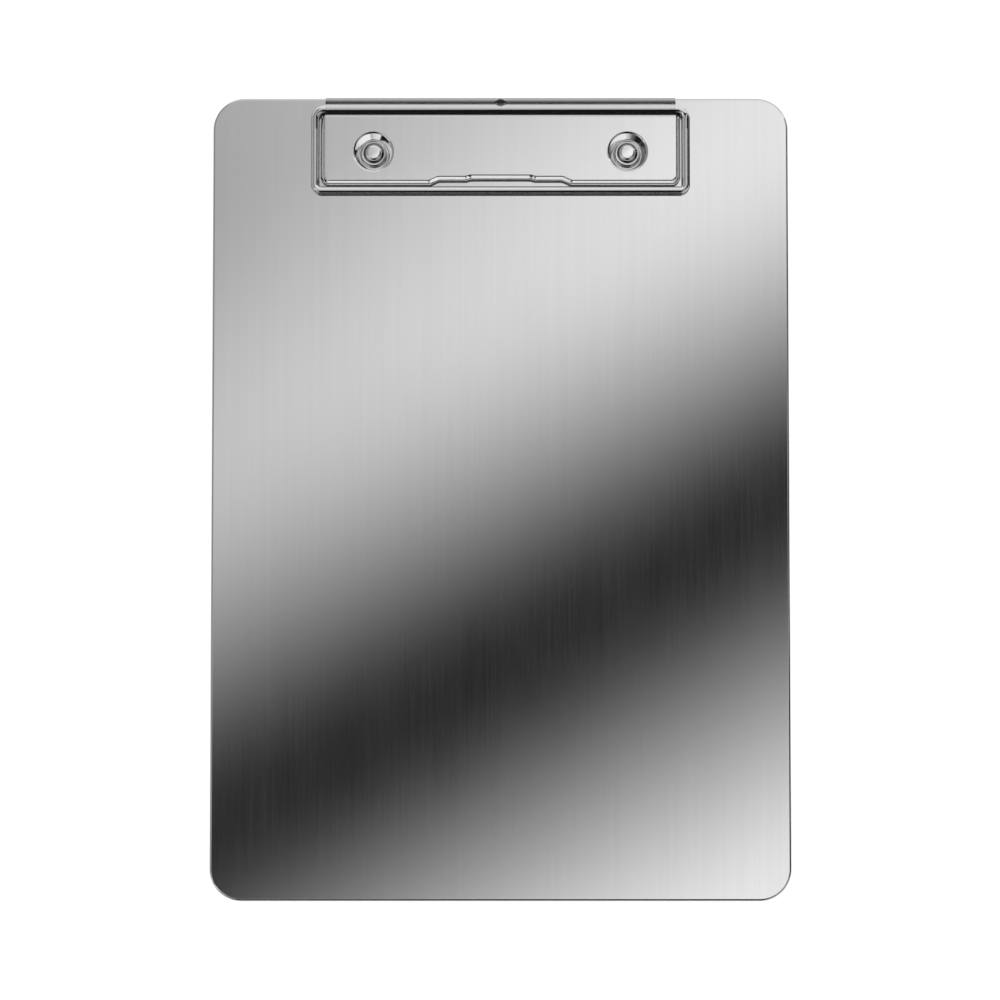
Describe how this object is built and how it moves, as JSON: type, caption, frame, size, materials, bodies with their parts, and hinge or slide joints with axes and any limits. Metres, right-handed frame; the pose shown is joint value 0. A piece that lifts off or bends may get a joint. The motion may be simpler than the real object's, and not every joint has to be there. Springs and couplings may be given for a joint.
{
  "type": "clipboard",
  "caption": "Flat stainless steel clipboard: brushed board with round corners and a low riveted clip whose sprung wire bail lifts to take paper.",
  "frame": {"origin": "under the middle of the board, on the face that it rests on", "axes": "+X to the right across the board, +Y along the board towards the clip, +Z out of the writing face"},
  "size_m": [0.2286, 0.3174, 0.0064],
  "materials": {
    "board_steel": "brushed along the length",
    "clip_steel": "finely brushed",
    "bail_wire": "bright drawn wire",
    "rivet_steel": "polished"
  },
  "bodies": {
    "base": {"board": "board_steel", "clip_plate": "clip_steel", "left_torsion_end": "bail_wire", "right_torsion_end": "bail_wire", "left_rivet": "rivet_steel", "right_rivet": "rivet_steel"},
    "bail": {"wire_bail": "bail_wire"}
  },
  "joints": [
    {"name": "bail_hinge", "type": "hinge", "parent": "base", "child": "bail", "pos_m": [0, 0.15365, 0.00395], "axis": [-1, 0, 0], "range_deg": [0, 20], "stiffness_Nm_per_rad": 24}
  ]
}
